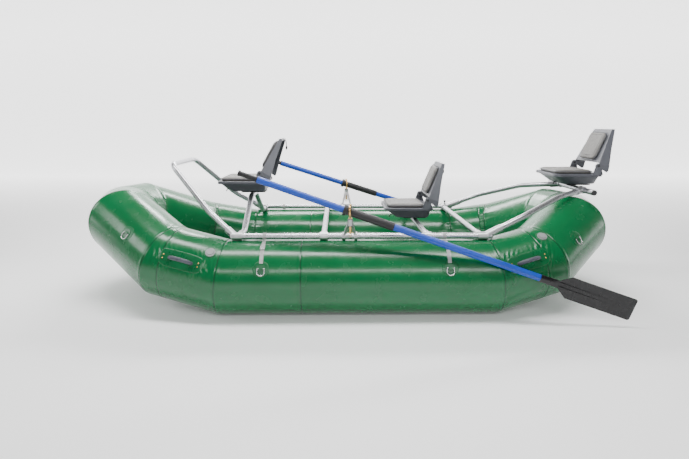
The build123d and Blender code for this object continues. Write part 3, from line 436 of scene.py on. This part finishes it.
def hull_skin(name, route, handle_ends):
    """One chamber's skin: lengths of tube that meet at mitred, taped seams."""
    ways = [unit(b - a) for a, b in zip(route, route[1:])]
    normals = [ways[0]] + [unit(a + b) for a, b in zip(ways, ways[1:])] + [ways[-1]]
    around = np.linspace(0, 2 * pi, RING, endpoint=False)
    out = unit(np.cross(ways[0], np.array(UP)))
    verts, groove_shade = [], []
    rows = 0
    for index, way in enumerate(ways):
        if index:
            out = turn_to(out, ways[index - 1], way)
        rise = np.cross(out, way)
        spoke = np.outer(np.cos(around), out) + np.outer(np.sin(around), rise)
        foot = route[index] + TUBE * spoke
        ends, inner = [], []
        for corner in (index, index + 1):
            reach = (route[corner] - foot) @ normals[corner] / (way @ normals[corner])
            ends.append(foot + reach[:, None] * way)
            bend = ways[min(corner, len(ways) - 1)] - ways[max(corner - 1, 0)]
            size = np.linalg.norm(bend)
            inner.append(np.clip(spoke @ bend / size, 0, 1) ** 2 * min(1, size * 2) if size > 0.01 else 0 * around)
        lengths = np.linalg.norm(ends[1] - ends[0], axis=1)
        scale = np.minimum(1, END_SHARE * lengths / OFFSETS[-1])
        count = max(2, int(lengths.max() / MIDDLE_STEP))
        stations = [offset * scale for offset in OFFSETS]
        start, stop = stations[-1], lengths - stations[-1]
        stations += [start + (stop - start) * step / count for step in range(1, count)]
        stations += [lengths - offset * scale for offset in OFFSETS[::-1]]
        for station in stations[(1 if index else 0):]:
            first, first_shade = seam_shape(station, inner[0], around, index)
            second, second_shade = seam_shape(lengths - station, inner[1], around, index + 1)
            swell = np.maximum(-GROOVE, first + second)
            verts.append(ends[0] + station[:, None] * way + swell[:, None] * spoke)
            groove_shade.append(np.maximum(first_shade, second_shade))
            rows += 1
    verts = np.concatenate(verts)
    groove_shade = np.concatenate(groove_shade)
    pucker = np.zeros(len(verts))
    for place in handle_ends:
        pucker = np.maximum(pucker, np.exp(-(np.linalg.norm(verts - place, axis=1) / 0.07) ** 2))
    faces = grid_faces(rows, RING) + caps(rows, RING)
    # The seam_shade attribute carries the painted shade of the seam grooves to the hull material.
    skin = piece(f"hull_skin_{name}", verts, faces, "hull_fabric", floats={"seam_shade": groove_shade, "pucker": pucker})
    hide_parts(f"chamber_{name}")
    return skin


def on_tube(side, first, second, share, angle):
    """A frame on the tube's skin: x along the tube, z outward, angle up from outboard."""
    at = hull_corners(side)
    along = unit(at[second] - at[first])
    outward = unit(np.cross(along, np.array(UP)))
    outward = outward * (1 if outward[1] * side > 0 else -1)
    rising = unit(np.cross(along, outward))
    rising = rising * (1 if rising[2] > 0 else -1)
    normal = outward * cos(radians(angle)) + rising * sin(radians(angle))
    centre = at[first] + (at[second] - at[first]) * share
    return centre, along, normal, np.cross(normal, along)


HANDLES = [("bow_seam", "bow_bend", 0.53, 27), ("stern_seam", "stern_bend", 0.44, 28)]
VALVES = [("bow_seam", "bow_bend", 0.15, 51), ("stern_seam", "stern_bend", 0.91, 60)]
TIES = [("bow_bend", "bow_shoulder", 0.36, 35), ("stern_bend", "stern_shoulder", 0.33, 32)]
STRAP_X = (-0.59, 0.66)
STRAP_RING_ANGLE = 27
side_run = STERN_SEAM_X - BOW_SEAM_X
STRAP_RINGS = [("bow_seam", "stern_seam", (x - BOW_SEAM_X) / side_run, STRAP_RING_ANGLE) for x in STRAP_X]
HANDLE_HALF = 0.078

handle_frames = [on_tube(side, *place) for side in SIDES.values() for place in HANDLES]
handle_ends = [
    centre + normal * TUBE + along * end * HANDLE_HALF * 1.6
    for centre, along, normal, across in handle_frames
    for end in (-1, 1)
]
for name, route in chamber_routes().items():
    hull_skin(name, route, handle_ends)


def patch(name, place, outline, thickness, look="hull_patch"):
    """A flat-cut piece of fabric glued round the tube: outline gives its half width at each turn."""
    centre, along, normal, across = place
    verts, faces = [], []
    turns, rings = 64, (0.0, 0.35, 0.7, 0.92, 0.985, 1.0)
    heights = (1, 1, 1, 1, 0.7, -0.4)
    for share, height in zip(rings, heights):
        for turn in np.linspace(0, 2 * pi, turns, endpoint=False):
            reach = outline(turn) * share
            u, v = reach * cos(turn), reach * sin(turn) / TUBE
            radial = normal * cos(v) + across * sin(v)
            verts.append(centre + along * u + radial * (TUBE + height * thickness))
    faces = grid_faces(len(rings), turns) + [caps(len(rings), turns)[1]]
    return piece(name, verts, faces[:-1], look)


def rounded(width, length, power=5):
    return lambda turn: 1 / (abs(cos(turn) / width) ** power + abs(sin(turn) / length) ** power) ** (1 / power)


PATCH = 0.0012
ring_frames = [on_tube(side, *place) for side in SIDES.values() for place in TIES + STRAP_RINGS]
for index, place in enumerate(ring_frames):
    patch(f"ring_patch_base_{index}", place, lambda turn: 0.055, PATCH)
for index, place in enumerate(handle_frames):
    patch(f"handle_patch_{index}", place, rounded(0.155, 0.062), PATCH)
valve_frames = [on_tube(side, *place) for side in SIDES.values() for place in VALVES]
for index, place in enumerate(valve_frames):
    patch(f"valve_collar_{index}", place, lambda turn: 0.044, PATCH)

# ---------------------------------------------------------------- swept and turned pieces
def sweep(route, half_wide, half_deep, flat_way, turns=20, closed=False):
    """Rings of points along a route: an oval section, wide across flat_way's normal."""
    rows = []
    count = len(route)
    for index, point in enumerate(route):
        before = route[index - 1] if (index or closed) else point
        after = route[(index + 1) % count] if (index + 1 < count or closed) else point
        way = unit(np.array(after) - np.array(before))
        deep = np.array(flat_way[index] if len(np.shape(flat_way)) > 1 else flat_way, float)
        deep = unit(deep - way * (deep @ way))
        wide = np.cross(way, deep)
        for turn in np.linspace(0, 2 * pi, turns, endpoint=False):
            rows.append(point + wide * half_wide[index] * cos(turn) + deep * half_deep[index] * sin(turn))
    faces = grid_faces(count, turns)
    if closed:
        last = (count - 1) * turns
        faces += [(last + k, last + (k + 1) % turns, (k + 1) % turns, k) for k in range(turns)]
    else:
        faces += caps(count, turns)
    return rows, faces


def turned(centre, axis, profile, turns=24):
    """A shape turned about an axis: the profile gives radius and height."""
    axis = unit(np.array(axis, float))
    side = unit(np.cross(axis, np.array((0.31, 0.92, 0.24))))
    other = np.cross(axis, side)
    rows = []
    for radius, height in profile:
        for turn in np.linspace(0, 2 * pi, turns, endpoint=False):
            rows.append(np.array(centre) + axis * height + (side * cos(turn) + other * sin(turn)) * radius)
    return rows, grid_faces(len(profile), turns) + caps(len(profile), turns)


def gather(parts):
    """Several shapes as one list of points and faces."""
    verts, faces = [], []
    for more, their_faces in parts:
        start = len(verts)
        verts += list(more)
        faces += [tuple(start + k for k in face) for face in their_faces]
    return verts, faces


# ---------------------------------------------------------------- carry handles
GRIP_STEPS = 40
GRIP_LIFT = 0.034
GRIP_FOOT = 0.0036
GRIP_REACH = 0.094


def handle_grip(place):
    """A moulded rubber grip: a flattened arch, thick in the middle, with ribs for the fingers."""
    centre, along, normal, across = place
    route, wide, deep = [], [], []
    for step in range(GRIP_STEPS + 1):
        share = 2 * step / GRIP_STEPS - 1
        rise = 1 - abs(share) ** 4.5
        middle = max(0.0, 1 - abs(share) ** 6)
        ribs = 0.0006 * cos(share * 7 * pi) * (abs(share) < 0.72)
        bow = GRIP_LIFT * rise - 0.5 * (share * GRIP_REACH) ** 2 / TUBE
        route.append(centre + along * share * GRIP_REACH + normal * (TUBE + GRIP_FOOT + bow))
        wide.append(0.009 + 0.005 * middle + ribs)
        deep.append(0.0032 + 0.0078 * middle + ribs)
    return sweep(route, wide, deep, normal, turns=28)


def rivets(place, reach):
    """Two domed rivets at each end of a handle."""
    centre, along, normal, across = place
    made = []
    for end in (-1, 1):
        for side in (-1, 1):
            lean = side * 0.012 / TUBE
            radial = normal * cos(lean) + across * sin(lean)
            foot = centre + along * end * reach + radial * (TUBE + 0.0028)
            profile = [(0.0052, 0), (0.005, 0.0011), (0.0038, 0.0022), (0.0018, 0.0028), (0.0003, 0.003)]
            made.append(turned(foot, radial, profile, 16))
    return gather(made)


grips = piece("handle_grip_skin", *gather([handle_grip(place) for place in handle_frames]), "handle_rubber")
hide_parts("handle_grips")
piece("handle_rivets", *gather([rivets(place, 0.128) for place in handle_frames]), "oarlock_brass")

# ---------------------------------------------------------------- floor
FLOOR_LINE = [(-1.65, 0.4), (-1.302, 0.2), (-0.872, 0.11), (0.988, 0.11), (1.368, 0.185), (1.65, 0.35)]
FLOOR_HALF = 0.045
FLOOR_EDGE = 0.455
FLOOR_GAP = 0.006
FLOOR_STEP = 0.02
FLOOR_GROOVES = 9


def hull_lines():
    """The tube's centre lines as start, way and length."""
    lines = []
    for side in SIDES.values():
        at = hull_corners(side)
        order = ("bow_end", "bow_shoulder", "bow_bend", "bow_seam", "stern_seam", "stern_bend", "stern_shoulder", "stern_end")
        for first, second in zip(order, order[1:]):
            run = at[second] - at[first]
            lines.append((at[first], unit(run), np.linalg.norm(run)))
    return lines


def clearance(point, lines):
    nearest = 9.0
    for start, way, length in lines:
        reach = np.clip((point - start) @ way, 0, length)
        nearest = min(nearest, np.linalg.norm(point - start - way * reach))
    return nearest - TUBE


def floor_edge(x, z, lines):
    """How far out the floor reaches before it meets the tube."""
    low, high = 0.0, FLOOR_EDGE
    if clearance(np.array((x, high, z)), lines) > FLOOR_GAP:
        return high
    for _ in range(16):
        middle = (low + high) / 2
        if clearance(np.array((x, middle, z)), lines) > FLOOR_GAP:
            low = middle
        else:
            high = middle
    return low


def floor_skin():
    """One inflated panel with a rounded edge and the lines of its inner threads."""
    lines = hull_lines()
    xs = [point[0] for point in FLOOR_LINE]
    zs = [point[1] for point in FLOOR_LINE]
    stations = np.arange(xs[0] + 0.03, xs[-1] - 0.03, FLOOR_STEP)
    across = 96
    verts, seam_shade = [], []
    for x in stations:
        window = np.linspace(x - 0.06, x + 0.06, 7)
        z = float(np.mean(np.interp(window, xs, zs)))
        end = min(1.0, (x - xs[0] - 0.03) / 0.05, (xs[-1] - 0.03 - x) / 0.05)
        half = max(0.008, FLOOR_HALF * (1 - (1 - max(0.0, end)) ** 2.5) ** 0.5)
        edge = max(0.05, floor_edge(x, z, lines))
        for turn in np.linspace(0, 2 * pi, across, endpoint=False):
            u, v = cos(turn), sin(turn)
            wide = np.sign(u) * abs(u) ** 0.28
            high = np.sign(v) * abs(v) ** 0.75
            y = edge * wide if abs(wide) < 0.9 else np.sign(wide) * (edge - (1 - abs(wide)) * edge)
            groove = abs(sin(FLOOR_GROOVES * pi * y / (2 * FLOOR_EDGE))) ** 0.35
            verts.append((x, y, z + (half - 0.003 * (1 - groove)) * high))
            seam_shade.append(float(max(0.0, 0.9 - 3 * groove)) if v > 0 else 0.0)
    faces = grid_faces(len(stations), across) + caps(len(stations), across)
    skin = piece("floor_skin", verts, faces, "floor_fabric", floats={"seam_shade": seam_shade})
    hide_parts("floor")
    return lines


def floor_lacing(lines):
    """A thin line that runs over and under between the floor's edge and the tubes."""
    rows = []
    xs = [point[0] for point in FLOOR_LINE]
    zs = [point[1] for point in FLOOR_LINE]
    for side in SIDES.values():
        route = []
        for index, x in enumerate(np.arange(-1.2, 1.26, 0.03)):
            z = float(np.interp(x, xs, zs))
            edge = floor_edge(x, z, lines)
            inward = index % 2 == 0
            route.append(np.array((x, side * (edge - (0.035 if inward else 0.006)), z + FLOOR_HALF * (0.98 if inward else 0.72))))
        smooth = []
        for first, second in zip(route, route[1:]):
            smooth += [first + (second - first) * share for share in (0.0, 0.33, 0.67)]
        size = [0.003] * len(smooth)
        rows.append(sweep(smooth, size, size, (0, 0, 1), turns=10))
    return piece("floor_lacing", *gather(rows), "webbing")


floor_lines = floor_skin()
floor_lacing(floor_lines)

# ---------------------------------------------------------------- cushions
VOXEL = 0.006
PRESSURE = 4.0
FRAMES = 20
CAP = 0.004
PIPING = 0.0026
CHANNEL_INSET = 0.03
BACK_LEAN = {"front": radians(30), "middle": radians(22), "stern": radians(22)}
joints = {joint["name"]: joint for joint in frame["record"]["behaviour"]["joints"]}


def seat_place(seat, joint):
    return Vector(joints[f"{joint}_{seat}"]["pos_m"])


def own_copy(name, node):
    copied = bpy.data.objects.new(name, nodes[node].data.copy())
    bpy.context.scene.collection.objects.link(copied)
    return copied


def settle(copied):
    """The mesh with its modifiers applied."""
    bpy.context.view_layer.update()
    graph = bpy.context.evaluated_depsgraph_get()
    mesh = bpy.data.meshes.new_from_object(copied.evaluated_get(graph))
    copied.modifiers.clear()
    copied.data = mesh
    return mesh


def spots(mesh):
    values = np.zeros(len(mesh.vertices) * 3)
    mesh.vertices.foreach_get("co", values)
    return values.reshape(-1, 3)


def swell(node):
    """The pad's solid, remeshed and blown up by a short cloth simulation, as points and faces."""
    copied = own_copy("pad_work", node)
    points = spots(copied.data)
    middle = (points.max(axis=0) + points.min(axis=0)) / 2
    points = middle + (points - middle) * 0.975
    copied.data.vertices.foreach_set("co", points.ravel())
    remesh = copied.modifiers.new("remesh", "REMESH")
    remesh.mode = "VOXEL"
    remesh.voxel_size = VOXEL
    settle(copied)
    start = spots(copied.data)
    cloth = copied.modifiers.new("cloth", "CLOTH")
    cloth.settings.use_pressure = True
    cloth.settings.uniform_pressure_force = PRESSURE
    cloth.settings.effector_weights.gravity = 0
    cloth.settings.tension_stiffness = 15
    cloth.settings.bending_stiffness = 0.5
    scene = bpy.context.scene
    for step in range(1, FRAMES + 1):
        scene.frame_set(step)
    settle(copied)
    scene.frame_set(1)
    moved = spots(copied.data) - start
    size = np.linalg.norm(moved, axis=1, keepdims=True)
    moved *= np.minimum(1, CAP / np.maximum(size, 1e-9))
    copied.data.vertices.foreach_set("co", (start + moved).ravel())
    copied.data.update()
    subdivide = copied.modifiers.new("subdivide", "SUBSURF")
    subdivide.levels = 1
    mesh = settle(copied)
    mesh.shade_smooth()
    bpy.data.objects.remove(copied)
    return mesh


def outline_distance(u, v, half_u, half_v, corner):
    """How far inside a rounded rectangle each point lies."""
    du = np.abs(u) - (half_u - corner)
    dv = np.abs(v) - (half_v - corner)
    outside = np.hypot(np.maximum(du, 0), np.maximum(dv, 0))
    inside = np.minimum(np.maximum(du, dv), 0)
    return corner - outside - inside


def sewn(points, sizes):
    """Sews a channel round the pad's top and one across it at each listed place, and keeps the foot flat on its
    shell.
    """
    (half_u, half_v), top, foot, channels = sizes
    u, v, w = points.T
    gap = outline_distance(u, v, half_u, half_v, 0.044)
    upper = w > (top + foot) / 2
    crown = 0.0015 * np.clip(gap / 0.08, 0, 1) ** 0.7 * upper
    channel = np.exp(-(((gap - CHANNEL_INSET) / 0.0032) ** 2))
    for place in channels:
        channel = np.maximum(channel, np.exp(-(((u - place) / 0.0032) ** 2)) * (gap > CHANNEL_INSET))
    channel = channel * upper
    w = np.maximum(w + crown - 0.0022 * channel, foot)
    # The channel's mask goes back too, to paint shade along its groove.
    return np.stack([u, v, w], axis=1), channel


def rounded_route(half_u, half_v, corner, w, steps=14):
    route = []
    for quarter, (sign_u, sign_v) in enumerate(((1, 1), (-1, 1), (-1, -1), (1, -1))):
        for step in range(steps + 1):
            turn = pi / 2 * (quarter + step / steps)
            u = sign_u * (half_u - corner) + corner * cos(turn)
            v = sign_v * (half_v - corner) + corner * sin(turn)
            route.append(np.array((u, v, w)))
    return route


def into(points, basis, origin):
    """Takes local points to the raft's frame; the basis has the local axes as rows."""
    return np.asarray(points) @ basis + origin


def outof(points, basis, origin):
    return (np.asarray(points) - origin) @ basis.T


def cushion_set(kind, joint, body, basis_of, sizes, centre_of):
    """One simulated pad, set into all three seats, with piping round its top edge."""
    mesh = swell(f"{kind}_middle")
    basis, origin = basis_of("middle"), centre_of("middle")
    local, channel = sewn(outof(spots(mesh), basis, origin), sizes)
    for seat in SEATS:
        copied = mesh.copy()
        points = into(local, basis_of(seat), centre_of(seat))
        copied.vertices.foreach_set("co", points.ravel())
        copied.update()
        # The channel's mask becomes painted shade in the cushion's colour.
        attribute = copied.attributes.new("seam_shade", "FLOAT", "POINT")
        attribute.data.foreach_set("value", channel.astype(np.float32))
        pad = bpy.data.objects.new(f"{kind}_cushion_{seat}", copied)
        bpy.context.scene.collection.objects.link(pad)
        copied.materials.clear()
        copied.materials.append(LOOKS["seat_cushion"])
        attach(pad, f"{body}_{seat}")
        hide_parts(f"{kind}_{seat}")
        (half_u, half_v), top, foot, channels = sizes
        route = rounded_route(half_u - 0.001, half_v - 0.001, 0.044, top - 0.008)
        size = [PIPING] * len(route)
        verts, faces = sweep(route, size, size, (0, 0, 1), turns=10, closed=True)
        piece(f"{kind}_piping_{seat}", into(verts, basis_of(seat), centre_of(seat)), faces, "seat_plastic", f"{body}_{seat}")


def level_basis(seat):
    return np.eye(3)


def leaning_basis(seat):
    """Rows: up the back, across it, and out of its face."""
    lean = BACK_LEAN[seat]
    rising = np.array((sin(lean), 0, cos(lean)))
    forward = np.array((-cos(lean), 0, sin(lean)))
    return np.stack([rising, np.cross(forward, rising), forward])


SEAT_PAD = ((0.15, 0.186), 0.024, 0.0, ())
BACK_PAD = ((0.116, 0.131), 0.022, 0.0, ())


def seat_pad_centre(seat):
    low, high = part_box(f"seat_pad_{seat}")
    return np.array(((low.x + high.x) / 2, 0, low.z))


def back_pad_centre(seat):
    basis = leaning_basis(seat)
    hinge = np.array(seat_place(seat, "back_fold"))
    return hinge + basis[0] * (0.038 + 0.116) + basis[2] * 0.0003


cushion_set("seat_pad", "seat_swivel", "seat", level_basis, SEAT_PAD, seat_pad_centre)
cushion_set("back_pad", "back_fold", "seat_back", leaning_basis, BACK_PAD, back_pad_centre)


# ---------------------------------------------------------------- small seat fittings
def seat_fittings(seat):
    """The strap tail at the top of the back, with its buckle, and the swivel's lever."""
    basis = leaning_basis(seat)
    hinge = np.array(seat_place(seat, "back_fold"))
    rising, forward = basis[0], basis[2]
    root = hinge + rising * 0.294 - forward * 0.016
    bends = ((0, 0), (0.014, 0.002), (0.024, -0.006), (0.028, -0.022), (0.029, -0.042), (0.029, -0.056))
    tail = [root + np.array((x, 0, z)) for x, z in bends]
    lies = [(0, 0, 1), (0, 0, 1), (1, 0, 1), (1, 0, 0), (1, 0, 0), (1, 0, 0)]
    strap = sweep(tail, [0.0125] * 6, [0.003] * 6, lies, turns=14)
    ends = [tail[-1] + np.array((0, 0, drop)) for drop in (0.008, 0.003, -0.014, -0.02)]
    buckle = sweep(ends, [0.012, 0.017, 0.016, 0.01], [0.004, 0.008, 0.007, 0.003], (1, 0, 0), turns=14)
    piece(f"back_strap_{seat}", *gather([strap, buckle]), "black_plastic", f"seat_back_{seat}")
    swivel = seat_place(seat, "seat_swivel")
    start = np.array((swivel.x - 0.07, -0.03, swivel.z + 0.028))
    bends = ((0, 0, 0), (-0.08, -0.03, 0), (-0.13, -0.05, -0.004), (-0.142, -0.056, -0.022))
    lever = [start + np.array(bend) for bend in bends]
    piece(f"swivel_lever_{seat}", *sweep(lever, [0.004] * 4, [0.004] * 4, (0, 0, 1), turns=12), "black_steel", f"seat_{seat}")


for seat in SEATS:
    seat_fittings(seat)

studio()
